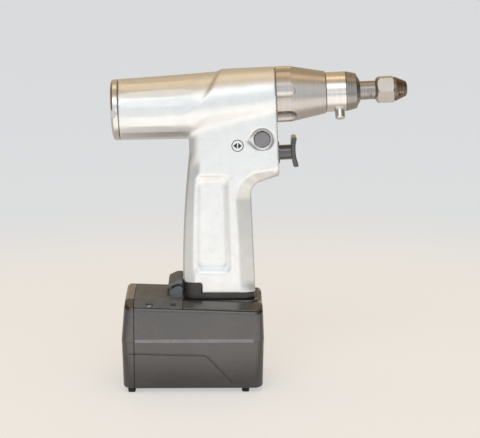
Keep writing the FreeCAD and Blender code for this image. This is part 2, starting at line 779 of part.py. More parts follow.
def trigger_magnet():
    return trigger_frame(rod(2.0, -trigger_tail + 0.1, -trigger_tail + 2.0))


def direction_button():
    """A pin turned about Y, chamfered at both ends, with three notches for the detent ball."""
    half = handle_half - 0.2
    rim = 0.5
    notch_r = button_r - detent_depth
    outline = [(-half, 0), (-half, button_r - rim), (-half + rim, button_r)]
    for middle in (-button_travel, 0.0, button_travel):
        outline += [(middle - detent_depth, button_r), (middle, notch_r), (middle + detent_depth, button_r)]
    outline += [(half - rim, button_r), (half, button_r - rim), (half, 0)]
    wire = Part.makePolygon([V(button_x + r, y, button_z) for y, r in outline + outline[:1]])
    return Part.Face(wire).revolve(V(button_x, 0, button_z), V(0, 1, 0), 360)


def button_detent():
    """Spring-loaded ball that holds the button in one of its three seats."""
    centre_x = button_x - button_r + detent_depth - detent_ball_r * math.sqrt(2) - running_gap
    ball = Part.makeSphere(detent_ball_r, V(centre_x, 0, button_z))
    spring = coil(detent_ball_r - 0.35, 0.4, 0, 4.6, 4)
    spring.translate(V(centre_x - detent_ball_r - 4.75, 0, button_z))
    return Part.makeCompound([ball, spring])


# Electronics in the handle

def controller_board():
    return box(board_rear, board_front, board_face_y - board_thick, board_face_y, board_foot_z, board_top_z)


def power_transistors():
    cases = []
    for row in range(3):
        for column in (7.0, 19.0):
            cases.append(box(column, column + 7, -2.5, -0.6, 78 + 12.0 * row, 86 + 12.0 * row))
    return Part.makeCompound(cases)


def capacitors():
    cans = []
    for x in (9.6, 22.4):
        can = Part.makeCylinder(4.8, 16, V(x, 2.35, 113.5))
        cans.append(can.makeChamfer(0.6, [e for e in can.Edges if e.Curve.TypeId.endswith("Circle")]))
    return Part.makeCompound(cans)


def hall_board():
    return on_nose(tube(lead_slot_r - lead_r - 0.1, 4.2, motor_rear + 6.6, motor_rear + 7.8))


# Foot of the handle

def shoe_outline(inset, z0, z1):
    rear = handle_rear_foot[0] + inset
    front = handle_front_foot[0] - inset
    return rounded_box(rear, front, handle_half - inset, z0, z1, handle_edge_r - inset)


def base_shoe():
    flange = shoe_outline(0.3, handle_foot_z - shoe_flange, handle_foot_z)
    block = box(handle_rear_foot[0] + 0.5, notch_front - 0.3, -handle_half + 0.5, handle_half - 0.5,
                handle_foot_z, handle_foot_z + notch_depth - 0.2)
    block = block.common(shoe_outline(0.5, handle_foot_z - 1, handle_foot_z + notch_depth + 1))
    hook_pocket = box(-9, 2.6, -6.3, 6.3, handle_foot_z + 0.4, handle_foot_z + notch_depth + 1)
    tongue = box(6.5, 26.5, -9.0, 9.0, handle_foot_z - 0.5, handle_foot_z + 5)
    board_seat = box(8.0, 25.0, -4.1, -2.5, handle_foot_z + 5, handle_foot_z + 7.3)
    neck = box(bay_rear + 2.0, 36.0, -rail_neck_half, rail_neck_half, rail_neck_z - 0.5,
               handle_foot_z - shoe_flange + 0.5)
    head = box(bay_rear + 2.0, 36.0, -rail_head_half, rail_head_half, rail_head_z, rail_neck_z)
    nib = plate_xz([(35.5, rail_head_z), (43.4, rail_head_z), (43.3, 52.6), (42.4, 55.2),
                    (40.6, 56.8), (35.5, 56.8)], -rail_head_half, rail_head_half)
    shoe = joined([flange, block, tongue, board_seat, neck, head, nib]).cut(hook_pocket)
    holes = []
    for x, y in shoe_screw_places():
        holes.append(Part.makeCylinder(1.6, 20, V(x, y, handle_foot_z - 12)))
        holes.append(Part.makeCylinder(2.3, 14, V(x, y, handle_foot_z - 15.7)))
    slots = [box(bay_rear, 12, y - 0.5, y + 0.5, 51.0, 56.0) for y in blade_places()]
    return shoe.cut(holes + slots)


def blade_places():
    return [-5.0, 0.0, 5.0]


def contact_blades():
    blades = [box(bay_rear - 5.5, 11.9, y - 0.45, y + 0.45, 51.1, 55.9) for y in blade_places()]
    return Part.makeCompound(blades)


def shoe_screws():
    screws = []
    for x, y in shoe_screw_places():
        head = Part.makeCylinder(2.1, 1.4, V(x, y, handle_foot_z - 1.7 - 1.4))
        shank = Part.makeCylinder(1.23, 9.2, V(x, y, handle_foot_z - 1.8))
        hexagon = Part.makeCylinder(0.9, 0.9, V(x, y, handle_foot_z - 3.1 - 0.1))
        screws.append(head.fuse(shank).cut(hexagon))
    return Part.makeCompound(screws)


# Battery

def slope_at(x):
    return -x * math.tan(math.radians(top_slope))


def below_top(rise, thickness=80.0, x0=-60.0, x1=60.0):
    """A wedge under the sloping top plane of the battery, rise above the side panels' top edge."""
    points = [(x0, side_top_z + rise + slope_at(x0)), (x1, side_top_z + rise + slope_at(x1)),
              (x1, side_top_z + rise - thickness), (x0, side_top_z + rise - thickness)]
    return plate_xz(points, -50, 50)


def battery_form():
    """Outside of the whole battery: drafted both ways from a ridge, with a crowned top."""
    lean = 0.9
    low = rounded_wire(battery_rear + lean, battery_front - lean + 0.2,
                       battery_half - ridge_step - battery_draft, foot_height, battery_corner_r)
    under = rounded_wire(battery_rear + 0.1, battery_front - 0.1, battery_half - ridge_step,
                         battery_ridge_z, battery_corner_r)
    ridge = rounded_wire(battery_rear, battery_front, battery_half, battery_ridge_z, battery_corner_r)
    high = rounded_wire(battery_rear + 2.4, battery_front - 1.0, battery_half - battery_draft,
                        side_top_z + 8, battery_corner_r)
    lower = Part.makeLoft([low, under], True, True)
    sill = [e for e in lower.Edges if abs(e.BoundBox.ZMax - foot_height) < 0.01]
    lower = lower.makeFillet(1.6, sill)
    upper = Part.makeLoft([ridge, high], True, True)
    edge = side_top_z
    deck = edge + deck_rise
    outline = [V(0, -40, 0), V(0, -40, edge - 3.2), V(0, -battery_half, edge - 0.2),
               V(0, -deck_half, deck), V(0, deck_half, deck), V(0, battery_half, edge - 0.2),
               V(0, 40, edge - 3.2), V(0, 40, 0)]
    crown = Part.Face(Part.makePolygon(outline + outline[:1]))
    crown.translate(V(-60, 0, -slope_at(60)))
    crown = crown.extrude(V(120, 0, slope_at(120)))
    bends = [e for e in crown.Edges if abs(abs(e.CenterOfMass.y) - deck_half) < 0.1
             and abs(e.tangentAt(e.FirstParameter).y) < 0.1]
    crown = crown.makeFillet(6.0, bends)
    top = upper.common(crown).Solids[0]
    brim = [e for e in top.Edges if e.BoundBox.ZMin > 50 and e.BoundBox.XMax < seam_x]
    return lower.fuse(top.makeFillet(top_edge_r, brim))


def groove_band(points, width):
    """A flat band that follows a bent line on the side panel."""
    bands = []
    for (x0, z0), (x1, z1) in zip(points, points[1:]):
        length = math.hypot(x1 - x0, z1 - z0)
        across = V(-(z1 - z0) / length * width / 2, 0, (x1 - x0) / length * width / 2)
        a, b = V(x0, 0, z0), V(x1, 0, z1)
        corners = [a + across, b + across, b - across, a - across]
        face = Part.Face(Part.makePolygon(corners + corners[:1]))
        bands.append(face.extrude(V(0, 6, 0)))
        bands.append(Part.makeCylinder(width / 2, 6, b, V(0, 1, 0)))
    return joined(bands)


def side_grooves():
    line = groove_band([(-50, 25.9), (7.2, 24.3), (9.4, 23.0), (24.5, 6.6)], 0.8)
    near = line.copy()
    near.translate(V(0, -battery_half + ridge_step + 0.6 - 6, 0))
    lean = math.degrees(math.atan(battery_draft / (battery_ridge_z - foot_height)))
    near.rotate(V(0, -battery_half + ridge_step, battery_ridge_z), V(1, 0, 0), lean)
    return [near, mirrored(near)]


def battery_case(form):
    shell = form.common(box(seam_x + seam_gap / 2, 60, -50, 50, 0, 60)).common(below_top(0))
    inside = rounded_box(seam_x - 9, battery_front - battery_wall, battery_half - battery_wall - 1.2,
                         foot_height + battery_wall, 80, 4.0)
    return shell.cut([inside] + side_grooves())


def battery_rear_cover(form):
    shell = form.common(box(-60, seam_x - seam_gap / 2, -50, 50, 0, 80))
    inside = rounded_box(battery_rear + battery_wall + 0.5, 0, battery_half - battery_wall - 1.2,
                         foot_height + battery_wall, 50.5, 4.0)
    return shell.cut([inside] + side_grooves())


def top_blank(form, x0, x1):
    """The part of the battery's top between two cross planes, with a skirt into the case."""
    skin = form.common(box(x0, x1, -50, 50, 0, 80)).cut(below_top(seam_gap))
    skirt = rounded_box(seam_x + 0.6, battery_front - battery_wall - 0.2,
                        battery_half - battery_wall - 1.6, 48.4, side_top_z + 6, 3.8)
    skirt = skirt.common(below_top(seam_gap + 0.2)).common(box(x0, x1, -50, 50, 0, 80))
    return skin.fuse(skirt).removeSplitter()


def latch_ears():
    x, z = latch_pivot
    ears = []
    for side in (-1, 1):
        inner, outer = sorted((side * 9.2, side * 11.8))
        ears.append(plate_xz([(x - 5.0, 54), (x + 2.9, 54), (x + 2.9, z + 1.2), (x + 1.4, z + 2.4),
                              (x - 1.4, z + 2.0), (x - 5.0, z - 1.0)], inner, outer))
    return ears


def battery_deck(form):
    """Grey rear half of the top, which carries the latch and the power sockets."""
    blank = top_blank(form, seam_x + seam_gap / 2, bay_rear)
    x, z = latch_pivot
    well = box(x - 6.5, bay_rear + 1, -8.9, 8.9, latch_well_z, 80)
    pin = Part.makeCylinder(latch_pin_r + press_gap, 22.2, V(x, -11.1, z), V(0, 1, 0))
    sockets = [box(bay_rear - 9, bay_rear + 1, y - 1.3, y + 1.3, socket_foot_z, socket_top_z)
               for y in blade_places()]
    openings = []
    for side in (-1, 1):
        openings.append(Part.makeCylinder(2.4, 8, V(deck_screw_x, side * deck_screw_y, 54.75)))
        openings.append(Part.makeCylinder(1.3, 12, V(deck_screw_x, side * deck_screw_y, 47)))
        near, far = sorted((side * 22.2, side * 26.6))
        openings.append(box(x - 4.5, x - 1.0, near, far, 54.2, 60))
    return blank.fuse(latch_ears()).cut([well, pin] + sockets + openings)


def battery_collar(form):
    """Dark front half of the top: the slide that the handle's shoe runs in."""
    blank = top_blank(form, bay_rear + 0.2, 60)
    front = handle_front_foot[0] + 2.2
    dock = rounded_box(bay_rear - 20, front, bay_half, 50, dock_z, 8.0)
    dock = dock.common(box(bay_rear + 0.2, 60, -50, 50, 0, 80))
    over = box(bay_rear, 60, -bay_half, bay_half, dock_z, 80)
    neck = box(bay_rear, 60, -rail_neck_half - slide_gap, rail_neck_half + slide_gap, rail_neck_z, 80)
    head = box(bay_rear, 60, -rail_head_half - slide_gap, rail_head_half + slide_gap,
               rail_head_z - slide_gap, rail_neck_z + slide_gap)
    floor = box(bay_rear + 0.2, battery_front - battery_wall - 0.6, -16, 16, 47.6, 53.0)
    mouth = box(35.2, 60, -rail_head_half - slide_gap, rail_head_half + slide_gap, rail_head_z - slide_gap, 80)
    return blank.fuse([dock, floor]).cut([over, neck, head, mouth]).removeSplitter()


def battery_front_gate():
    """Opening in the case's front wall that lets the shoe's head run out."""
    return box(battery_front - 8, battery_front + 5, -rail_head_half - slide_gap,
               rail_head_half + slide_gap, rail_head_z - slide_gap, 60)


def battery_latch():
    half = latch_width / 2
    px, pz = latch_pivot
    lever = plate_xz([(-15.6, 64.4), (-15.1, 66.4), (-10.2, 68.7), (-7.2, 68.8), (-6.6, 68.3),
                      (-6.6, 66.2), (-9.6, 66.2), (-15.0, 63.9)], -half, half)
    cheek = plate_xz([(px - 2.4, pz - 2.4), (px + 2.3, pz - 2.4), (px + 2.9, pz + 0.5),
                      (px + 2.9, 67), (px - 2.0, 66.5)], -8.6, 8.6)
    hook = plate_xz([(px + 2.0, 61.6), (-1.2, 61.6), (-0.6, 62.3), (-1.2, 64.6), (px + 2.0, 64.9)], -5.8, 5.8)
    grips = []
    for i in range(3):
        x = -14.0 + 1.55 * i
        z = 66.9 + 0.47 * 1.55 * i
        grips.append(Part.makeCylinder(0.42, latch_width - 2, V(x, -half + 1, z - 0.15), V(0, 1, 0)))
    lever = lever.makeChamfer(0.5, [e for e in lever.Edges if abs(abs(e.CenterOfMass.y) - half) < 0.01])
    body = joined([lever, cheek, hook] + grips)
    bore = Part.makeCylinder(latch_pin_r + running_gap, 40, V(px, -20, pz), V(0, 1, 0))
    return body.cut(bore)


def latch_pin():
    px, pz = latch_pivot
    return Part.makeCylinder(latch_pin_r, 22.0, V(px, -11.0, pz), V(0, 1, 0))


def latch_spring():
    spring = coil(1.4, 0.5, 0, latch_spring_length, 4)
    spring.rotate(V(0, 0, 0), V(0, 1, 0), -90)
    spring.translate(V(latch_pivot[0] - 4.3, 0, latch_well_z + 0.3))
    return spring


def cell_places():
    return [(y, z) for z in (foot_height + 11.6, foot_height + 30.0) for y in (-cell_pitch, 0.0, cell_pitch)]


def battery_cells():
    cells = [rod(cell_r, -32.4, -32.4 + cell_length, y, z) for y, z in cell_places()]
    return Part.makeCompound(cells)


def cell_holder():
    """Two frames that hold the ends of the cells off the case."""
    frames = []
    for x0, x1 in ((-30.4, -26.4), (26.4, 30.4)):
        frame = box(x0, x1, -battery_half + battery_wall + 1.4, battery_half - battery_wall - 1.4,
                    foot_height + battery_wall, 46.8)
        frame = frame.cut([rod(cell_r + press_gap, x0 - 1, x1 + 1, y, z) for y, z in cell_places()])
        frames.append(frame)
    return Part.makeCompound(frames)


def cell_tabs():
    tabs = []
    for x in (-32.7, -32.4 + cell_length):
        for y in (-cell_pitch, 0.0, cell_pitch):
            tabs.append(box(x, x + 0.3, y - 3.5, y + 3.5, foot_height + 9.0, foot_height + 32.6))
    return Part.makeCompound(tabs)


def battery_contacts():
    """Spring clips in the sockets that the handle's blades enter."""
    clips = []
    for y in blade_places():
        for side in (-1, 1):
            inner, outer = sorted((y + side * 0.75, y + side * 1.28))
            clips.append(box(bay_rear - 8.8, bay_rear - 1.0, inner, outer,
                             socket_foot_z + 0.1, socket_top_z - 0.4))
    return Part.makeCompound(clips)


def battery_feet():
    strips = []
    for x in (-38.4, 32.8):
        foot = box(x - 2.3, x + 2.3, -27.5, 27.5, 0, foot_height)
        low = [e for e in foot.Edges if e.CenterOfMass.z < 0.01]
        strips.append(foot.makeChamfer(0.8, low))
    return Part.makeCompound(strips)


def battery_screws():
    screws = []
    for side in (-1, 1):
        head = Part.makeCylinder(2.2, 1.2, V(deck_screw_x, side * deck_screw_y, 54.75))
        shank = Part.makeCylinder(1.25, 7.4, V(deck_screw_x, side * deck_screw_y, 47.5))
        socket = Part.makeCylinder(1.0, 1.0, V(deck_screw_x, side * deck_screw_y, 55.15))
        screws.append(head.fuse(shank).cut(socket))
    return Part.makeCompound(screws)


def build():
    form = battery_form()
    nodes = {
        "housing": housing(),
        "rear_cap": rear_cap(),
        "rear_cap_seal": rear_cap_seal(),
        "motor_can": motor_can(),
        "motor_end_bell": motor_end_bell(),
        "stator_core": stator_core(),
        "stator_windings": stator_windings(),
        "hall_board": hall_board(),
        "motor_bearings": bearings(
            [motor_rear + 1.02, motor_front - 5.2], motor_bearing_r, rotor_shaft_r),
        "rotor_shaft": rotor_shaft(),
        "rotor_magnet": rotor_magnet(),
        "sun_gear": sun_gear(),
        "ring_gear": ring_gear(),
        "planet_carrier": planet_carrier(),
        "motor_leads": motor_leads(),
        "output_spindle": output_spindle(),
        "spindle_bearings": bearings([-14.0, 4.0], nose_bore_r - 0.02, spindle_r),
        "spindle_spacer": spindle_spacer(),
        "shaft_seal": shaft_seal(),
        "nose_body": nose_body(),
        "locking_collar": locking_collar(),
        "collar_spring": collar_spring(),
        "attachment_body": attachment_body(),
        "release_pin": release_pin(),
        "release_pin_spring": release_pin_spring(),
        "front_ring": front_ring(),
        "chuck_bearings": chuck_bearings(),
        "chuck_shaft": chuck_shaft(),
        "chuck_cross_pin": chuck_cross_pin(),
        "chuck_collar": chuck_collar(),
        "chuck_spring": chuck_spring(),
        "chuck_jaw_nose": chuck_jaw_nose(),
        "trigger": trigger(),
        "trigger_bushing": trigger_bushing(),
        "trigger_spring": trigger_spring(),
        "trigger_magnet": trigger_magnet(),
        "direction_button": direction_button(),
        "button_detent": button_detent(),
        "controller_board": controller_board(),
        "power_transistors": power_transistors(),
        "capacitors": capacitors(),
        "base_shoe": base_shoe(),
        "shoe_screws": shoe_screws(),
        "contact_blades": contact_blades(),
        "battery_case": battery_case(form).cut(battery_front_gate()),
        "battery_rear_cover": battery_rear_cover(form),
        "battery_deck": battery_deck(form),
        "battery_collar": battery_collar(form),
        "battery_latch": battery_latch(),
        "latch_pin": latch_pin(),
        "latch_spring": latch_spring(),
        "battery_cells": battery_cells(),
        "cell_holders": cell_holder(),
        "cell_tabs": cell_tabs(),
        "battery_contacts": battery_contacts(),
        "battery_screws": battery_screws(),
        "battery_feet": battery_feet(),
    }
    for index in range(planet_count):
        nodes["planet_gear_%d" % (index + 1)] = planet_gear(index)
    return nodes


def middle_x(nodes):
    """Half way between the rear cap and the chuck's tip: the part's origin lies below it."""
    rear = nodes["rear_cap"].optimalBoundingBox(False, False).XMin
    front = nodes["chuck_shaft"].optimalBoundingBox(False, False).XMax
    return (rear + front) / 2


os.makedirs("parts", exist_ok=True)
solids = build()
origin_x = middle_x(solids)
for name, shape in solids.items():
    shape.translate(V(-origin_x, 0, 0))
    shape.exportStep("parts/" + name + ".step")
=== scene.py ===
import json
import math

import bmesh
import bpy
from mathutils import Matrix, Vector


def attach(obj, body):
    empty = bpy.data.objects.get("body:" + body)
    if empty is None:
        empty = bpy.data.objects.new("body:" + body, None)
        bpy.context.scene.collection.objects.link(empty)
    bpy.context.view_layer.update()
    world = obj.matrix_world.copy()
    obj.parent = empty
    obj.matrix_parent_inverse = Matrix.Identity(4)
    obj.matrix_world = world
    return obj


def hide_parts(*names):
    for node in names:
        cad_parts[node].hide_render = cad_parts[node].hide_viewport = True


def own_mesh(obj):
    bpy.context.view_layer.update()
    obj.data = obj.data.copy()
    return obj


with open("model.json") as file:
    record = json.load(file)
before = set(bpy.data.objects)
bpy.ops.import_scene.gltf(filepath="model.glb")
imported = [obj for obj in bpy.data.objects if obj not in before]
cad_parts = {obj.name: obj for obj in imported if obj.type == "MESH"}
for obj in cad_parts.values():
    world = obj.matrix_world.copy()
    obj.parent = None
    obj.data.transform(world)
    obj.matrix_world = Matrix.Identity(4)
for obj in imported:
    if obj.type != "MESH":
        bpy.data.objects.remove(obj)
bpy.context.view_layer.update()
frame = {"nodes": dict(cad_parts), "record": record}
nodes = frame["nodes"]
scene = bpy.context.scene
mm = 0.001
tilt = math.radians(2.6)        # the drill axis rises by this towards the chuck


# Helpers that each add one shader node

def feed(tree, socket, value):
    # a socket takes a number, a colour or another node's output
    if isinstance(value, (int, float)):
        socket.default_value = value
    elif isinstance(value, tuple):
        socket.default_value = (*value, 1.0)
    else:
        tree.links.new(value, socket)


def combine(tree, operation, a, b, clamp=False):
    node = tree.nodes.new("ShaderNodeMath")
    node.operation = operation
    node.use_clamp = clamp
    feed(tree, node.inputs[0], a)
    feed(tree, node.inputs[1], b)
    return node.outputs[0]


def spread(tree, value, low, high, outLow=0.0, outHigh=1.0, kind="LINEAR"):
    # what runs from low to high comes out running from outLow to outHigh
    node = tree.nodes.new("ShaderNodeMapRange")
    node.interpolation_type = kind
    for label, number in (("Value", value), ("From Min", low), ("From Max", high),
                          ("To Min", outLow), ("To Max", outHigh)):
        feed(tree, node.inputs[label], number)
    return node.outputs["Result"]


def ramp(tree, value, low, high):
    return spread(tree, value, low, high, kind="SMOOTHSTEP")


def blendColour(tree, mask, under, over):
    node = tree.nodes.new("ShaderNodeMix")
    node.data_type = "RGBA"
    for index, value in ((0, mask), (6, under), (7, over)):
        feed(tree, node.inputs[index], value)
    return node.outputs[2]


# Camera, floor and light

def makeCamera():
    view = {"place": (-27.28, -1110.33, 335.02), "target": (-11.78, 0.0, 105.06), "lens": 135.0,
            "sensor": 36.0, "reach": 20.0}
    camera = bpy.data.objects.new("camera", bpy.data.cameras.new("camera"))
    scene.collection.objects.link(camera)
    place = Vector(view["place"]) * mm
    camera.location = place
    look = Vector(view["target"]) * mm - place
    camera.rotation_euler = look.to_track_quat("-Z", "Y").to_euler()
    camera.data.lens = view["lens"]
    camera.data.sensor_width = view["sensor"]
    camera.data.clip_end = view["reach"]
    scene.camera = camera


def softbox(name, light, target):
    lamp = bpy.data.lights.new(name, "AREA")
    lamp.shape = "RECTANGLE"
    lamp.size, lamp.size_y = light["size"]
    lamp.energy = light["power"]
    lamp.color = light["colour"]
    holder = bpy.data.objects.new(name, lamp)
    scene.collection.objects.link(holder)
    holder.location = light["place"]
    look = Vector(target) - Vector(light["place"])
    holder.rotation_euler = look.to_track_quat("-Z", "Y").to_euler()


def makeLight():
    # a cool light above the camera, a warm one right over the drill and a weak one in front
    lights = {
        "ceilingLight": {"place": (-0.15, -0.95, 1.05), "size": (1.0, 0.6), "power": 2.0,
                         "colour": (0.97, 0.99, 1.0)},
        "overLight": {"place": (0.05, 0.08, 1.15), "size": (1.0, 0.3), "power": 0.80,
                      "colour": (1.0, 0.74, 0.48)},
        "fillLight": {"place": (-0.10, -1.30, 0.26), "size": (0.9, 0.30), "power": 0.30,
                      "colour": (0.95, 0.98, 1.0)}}
    centre = (0.0, 0.0, 0.11)
    for name, light in lights.items():
        softbox(name, light, centre)


def makeRoom():
    # what the metal mirrors: pale in front, warm above and behind, darker to the left and right
    room = {"open": (0.82, 0.87, 0.90), "behind": (0.60, 0.48, 0.33), "aside": (0.16, 0.125, 0.075),
            "backdrop": (0.730, 0.738, 0.761), "asideFade": (0.25, 0.75), "frontFade": (0.35, 0.80)}
    world = bpy.data.worlds.new("room")
    scene.world = world
    world.use_nodes = True
    tree = world.node_tree
    tree.nodes.clear()
    way = tree.nodes.new("ShaderNodeSeparateXYZ")
    tree.links.new(tree.nodes.new("ShaderNodeTexCoord").outputs["Generated"], way.inputs[0])
    across = combine(tree, "ABSOLUTE", way.outputs["X"], 0.0)
    ahead = combine(tree, "MULTIPLY", way.outputs["Y"], -1.0)
    walls = blendColour(tree, ramp(tree, across, *room["asideFade"]), room["behind"], room["aside"])
    seen = blendColour(tree, ramp(tree, ahead, *room["frontFade"]), walls, room["open"])
    surround = tree.nodes.new("ShaderNodeBackground")
    tree.links.new(seen, surround.inputs["Color"])
    backdrop = tree.nodes.new("ShaderNodeBackground")
    backdrop.inputs["Color"].default_value = (*room["backdrop"], 1.0)
    pick = tree.nodes.new("ShaderNodeMixShader")
    tree.links.new(tree.nodes.new("ShaderNodeLightPath").outputs["Is Camera Ray"], pick.inputs[0])
    tree.links.new(surround.outputs[0], pick.inputs[1])
    tree.links.new(backdrop.outputs[0], pick.inputs[2])
    tree.links.new(pick.outputs[0], tree.nodes.new("ShaderNodeOutputWorld").inputs["Surface"])


def makeFloor():
    # pale paper that fades towards the backdrop's colour; the metal mirrors a brighter patch in front
    paper = {"size": 3.0, "near": (0.58, 0.575, 0.57), "far": (0.46, 0.48, 0.50), "fade": (0.26, 0.60),
             "nearGlow": (0.50, 0.49, 0.48), "farGlow": (0.47, 0.50, 0.545), "dim": 0.55, "hot": 1.45,
             "patchNear": (0.05, 0.11), "patchFar": (1.0, 0.7), "patchSide": (0.48, 0.22),
             "rough": 0.9, "gloss": 0.1}
    mesh = bpy.data.meshes.new("floor")
    half = paper["size"]
    corners = [(-half, -half, 0.0), (half, -half, 0.0), (half, half, 0.0), (-half, half, 0.0)]
    mesh.from_pydata(corners, [], [(0, 1, 2, 3)])
    floor = bpy.data.objects.new("floor", mesh)
    scene.collection.objects.link(floor)
    material = bpy.data.materials.new("floorPaper")
    material.use_nodes = True
    tree = material.node_tree
    shader = tree.nodes["Principled BSDF"]
    shader.inputs["Roughness"].default_value = paper["rough"]
    shader.inputs["Specular IOR Level"].default_value = paper["gloss"]
    place = tree.nodes.new("ShaderNodeTexCoord").outputs["Object"]
    away = tree.nodes.new("ShaderNodeVectorMath")
    away.operation = "LENGTH"
    tree.links.new(place, away.inputs[0])
    fade = ramp(tree, away.outputs["Value"], *paper["fade"])
    tree.links.new(blendColour(tree, fade, paper["near"], paper["far"]), shader.inputs["Base Color"])
    glow = blendColour(tree, fade, paper["nearGlow"], paper["farGlow"])
    tree.links.new(glow, shader.inputs["Emission Color"])
    split = tree.nodes.new("ShaderNodeSeparateXYZ")
    tree.links.new(place, split.inputs[0])
    ahead = combine(tree, "MULTIPLY", split.outputs["Y"], -1.0)
    across = combine(tree, "ABSOLUTE", split.outputs["X"], 0.0)
    patch = combine(tree, "MULTIPLY", ramp(tree, ahead, *paper["patchNear"]),
                    ramp(tree, ahead, *paper["patchFar"]))
    patch = combine(tree, "MULTIPLY", patch, ramp(tree, across, *paper["patchSide"]))
    straight = tree.nodes.new("ShaderNodeLightPath").outputs["Is Camera Ray"]
    mirrored = combine(tree, "ADD", combine(tree, "MULTIPLY", patch, paper["hot"]), paper["dim"])
    mirrored = combine(tree, "MULTIPLY", mirrored, combine(tree, "SUBTRACT", 1.0, straight))
    tree.links.new(combine(tree, "ADD", mirrored, straight), shader.inputs["Emission Strength"])
    mesh.materials.append(material)


scene.view_settings.view_transform = "Standard"
makeCamera()
makeLight()
makeRoom()
makeFloor()
print("stage: camera, light and floor")


# Node groups shared by the finishes

def group(name, takes, gives):
    # a node group that takes and gives plain numbers
    tree = bpy.data.node_groups.new(name, "ShaderNodeTree")
    for label, value in takes.items():
        socket = tree.interface.new_socket(label, in_out="INPUT", socket_type="NodeSocketFloat")
        socket.default_value = value
    for label in gives:
        tree.interface.new_socket(label, in_out="OUTPUT", socket_type="NodeSocketFloat")
    return tree, tree.nodes.new("NodeGroupInput"), tree.nodes.new("NodeGroupOutput")


def noise(tree, vector, scale, detail, rough):
    node = tree.nodes.new("ShaderNodeTexNoise")
    tree.links.new(vector, node.inputs["Vector"])
    feed(tree, node.inputs["Scale"], scale)
    node.inputs["Detail"].default_value = detail
    node.inputs["Roughness"].default_value = rough
    return node.outputs["Fac"]


def placeOn(tree):
    return tree.nodes.new("ShaderNodeTexCoord").outputs["Object"]


def drawnOut(tree, turn, stretchBy):
    # the place turned about Y and scaled differently along each axis, so that noise draws lines
    lean = tree.nodes.new("ShaderNodeVectorRotate")
    lean.rotation_type = "Y_AXIS"
    lean.inputs["Angle"].default_value = turn
    tree.links.new(placeOn(tree), lean.inputs["Vector"])
    stretch = tree.nodes.new("ShaderNodeVectorMath")
    stretch.operation = "MULTIPLY"
    stretch.inputs[1].default_value = stretchBy
    tree.links.new(lean.outputs["Vector"], stretch.inputs[0])
    return stretch.outputs["Vector"]


# In the groups a noise is given by its detail and roughness

def makeGrainGroup():
    # fine all-over grain of a blasted or moulded skin, with a slower mottling under it
    grain = {"fine": (3.0, 0.7), "slow": (5.0, 0.6), "slower": 0.06}
    tree, enter, leave = group("skinGrain", {"Scale": 2500.0}, ("Height", "Mottle"))
    place = placeOn(tree)
    slower = combine(tree, "MULTIPLY", enter.outputs["Scale"], grain["slower"])
    tree.links.new(noise(tree, place, enter.outputs["Scale"], *grain["fine"]), leave.inputs["Height"])
    tree.links.new(noise(tree, place, slower, *grain["slow"]), leave.inputs["Mottle"])
    return tree


def makeWearGroup():
    # how far a point lies on a sharp outside edge, broken up by noise
    wear = {"samples": 4, "edge": (0.995, 0.90), "noise": (4.0, 0.6), "broken": (0.42, 0.60)}
    tree, enter, leave = group("edgeWear", {"Width": 0.0006, "Breakup": 400.0}, ("Mask",))
    bevel = tree.nodes.new("ShaderNodeBevel")
    bevel.samples = wear["samples"]
    tree.links.new(enter.outputs["Width"], bevel.inputs["Radius"])
    geometry = tree.nodes.new("ShaderNodeNewGeometry")
    dot = tree.nodes.new("ShaderNodeVectorMath")
    dot.operation = "DOT_PRODUCT"
    tree.links.new(bevel.outputs["Normal"], dot.inputs[0])
    tree.links.new(geometry.outputs["Normal"], dot.inputs[1])
    edge = spread(tree, dot.outputs["Value"], *wear["edge"])
    broken = noise(tree, placeOn(tree), enter.outputs["Breakup"], *wear["noise"])
    broken = spread(tree, broken, *wear["broken"])
    tree.links.new(combine(tree, "MULTIPLY", edge, broken, True), leave.inputs["Mask"])
    return tree


def makeSmudgeGroup():
    # wiped patches and handling marks
    smudge = {"patch": (6.0, 0.62), "patchCut": (0.38, 0.66), "finer": 26.0, "dots": (2.0, 0.5),
              "dotCut": (0.70, 0.76)}
    tree, enter, leave = group("handlingMarks", {"Scale": 30.0}, ("Patch", "Speck"))
    place = placeOn(tree)
    patch = noise(tree, place, enter.outputs["Scale"], *smudge["patch"])
    finer = combine(tree, "MULTIPLY", enter.outputs["Scale"], smudge["finer"])
    dots = noise(tree, place, finer, *smudge["dots"])
    tree.links.new(spread(tree, patch, *smudge["patchCut"]), leave.inputs["Patch"])
    tree.links.new(spread(tree, dots, *smudge["dotCut"]), leave.inputs["Speck"])
    return tree


def makeTurningGroup():
    # rings left by a lathe tool round the drill axis
    lathe = {"stretch": (1.0, 0.02, 0.02), "rings": (2.0, 0.6), "wider": 0.12, "bands": (3.0, 0.6)}
    tree, enter, leave = group("turningLines", {"Pitch": 9000.0}, ("Height", "Streak"))
    place = drawnOut(tree, tilt, lathe["stretch"])
    wider = combine(tree, "MULTIPLY", enter.outputs["Pitch"], lathe["wider"])
    tree.links.new(noise(tree, place, enter.outputs["Pitch"], *lathe["rings"]), leave.inputs["Height"])
    tree.links.new(noise(tree, place, wider, *lathe["bands"]), leave.inputs["Streak"])
    return tree


def makeScratchGroup():
    # fine scratches in two directions
    scratch = {"ways": ((0.35, (1.0, 1.0, 18.0)), (-0.6, (14.0, 1.0, 1.0))), "noise": (3.0, 0.6),
               "cut": (0.66, 0.72)}
    tree, enter, leave = group("fineScratches", {"Scale": 60.0}, ("Mask",))
    found = []
    for turn, stretchBy in scratch["ways"]:
        place = drawnOut(tree, turn, stretchBy)
        lines = noise(tree, place, enter.outputs["Scale"], *scratch["noise"])
        found.append(spread(tree, lines, *scratch["cut"]))
    tree.links.new(combine(tree, "MAXIMUM", *found), leave.inputs["Mask"])
    return tree


skinGrain = makeGrainGroup()
edgeWear = makeWearGroup()
handlingMarks = makeSmudgeGroup()
turningLines = makeTurningGroup()
fineScratches = makeScratchGroup()


